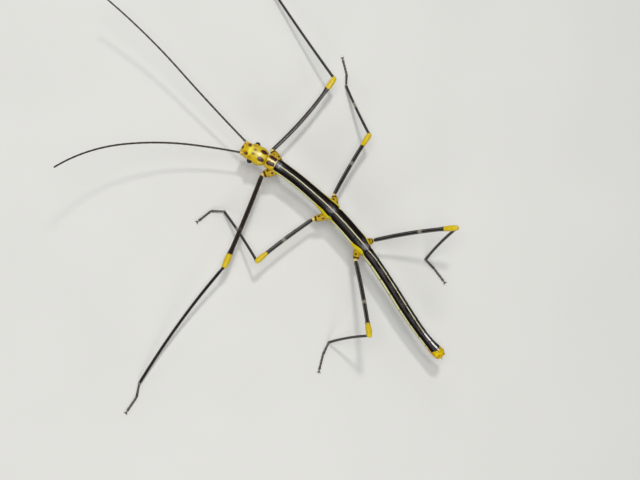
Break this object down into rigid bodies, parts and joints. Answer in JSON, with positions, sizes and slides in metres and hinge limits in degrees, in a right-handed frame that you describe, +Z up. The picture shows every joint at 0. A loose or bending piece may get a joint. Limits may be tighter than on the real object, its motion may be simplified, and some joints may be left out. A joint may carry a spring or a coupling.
{
  "type": "fern stick insect",
  "caption": "Life-size still model of a slender black and yellow stick insect, standing with legs and antennae spread, as a museum shows one.",
  "frame": {"origin": "on the floor the feet stand on, under the middle of the bounding box", "axes": "+Z up, -Y the way the head points (the head itself is turned a little to +X), +X towards the insect's left"},
  "size_m": [0.1049, 0.1094, 0.0236],
  "materials": {
    "black_cuticle": "glossy black-brown chitin of the thorax and abdomen, with cream and yellow stripes",
    "yellow_cuticle": "satin to glossy yellow and orange-yellow chitin with red-brown spots",
    "leg_cuticle": "semi-gloss black chitin of the legs and antennae, with yellow knees and grey ridges",
    "eye": "polished black faceted eye",
    "claw": "dark brown horn-like chitin"
  },
  "bodies": {
    "root": {"head": "yellow_cuticle", "eye_left": "eye", "eye_right": "eye", "mouthparts": "yellow_cuticle", "palp_left": "yellow_cuticle", "palp_right": "yellow_cuticle", "scape_left": "yellow_cuticle", "scape_right": "yellow_cuticle", "flagellum_left_1": "leg_cuticle", "flagellum_left_2": "leg_cuticle", "flagellum_right_1": "leg_cuticle", "flagellum_right_2": "leg_cuticle", "prothorax": "yellow_cuticle", "mesothorax": "black_cuticle", "metathorax": "black_cuticle", "abdomen_2": "black_cuticle", "abdomen_3": "black_cuticle", "abdomen_4": "black_cuticle", "abdomen_5": "black_cuticle", "abdomen_6": "black_cuticle", "abdomen_7": "black_cuticle", "abdomen_8": "black_cuticle", "abdomen_9": "black_cuticle", "abdomen_10": "yellow_cuticle", "cercus_left": "yellow_cuticle", "cercus_right": "yellow_cuticle", "operculum": "yellow_cuticle", "coxa_front_left": "yellow_cuticle", "femur_front_left": "leg_cuticle", "tibia_front_left": "leg_cuticle", "tarsus_front_left": "leg_cuticle", "claws_front_left": "claw", "coxa_front_right": "yellow_cuticle", "femur_front_right": "leg_cuticle", "tibia_front_right": "leg_cuticle", "tarsus_front_right": "leg_cuticle", "claws_front_right": "claw", "coxa_middle_left": "yellow_cuticle", "femur_middle_left": "leg_cuticle", "tibia_middle_left": "leg_cuticle", "tarsus_middle_left": "leg_cuticle", "claws_middle_left": "claw", "coxa_middle_right": "yellow_cuticle", "femur_middle_right": "leg_cuticle", "tibia_middle_right": "leg_cuticle", "tarsus_middle_right": "leg_cuticle", "claws_middle_right": "claw", "coxa_hind_left": "yellow_cuticle", "femur_hind_left": "leg_cuticle", "tibia_hind_left": "leg_cuticle", "tarsus_hind_left": "leg_cuticle", "claws_hind_left": "claw", "coxa_hind_right": "yellow_cuticle", "femur_hind_right": "leg_cuticle", "tibia_hind_right": "leg_cuticle", "tarsus_hind_right": "leg_cuticle", "claws_hind_right": "claw"}
  },
  "joints": []
}
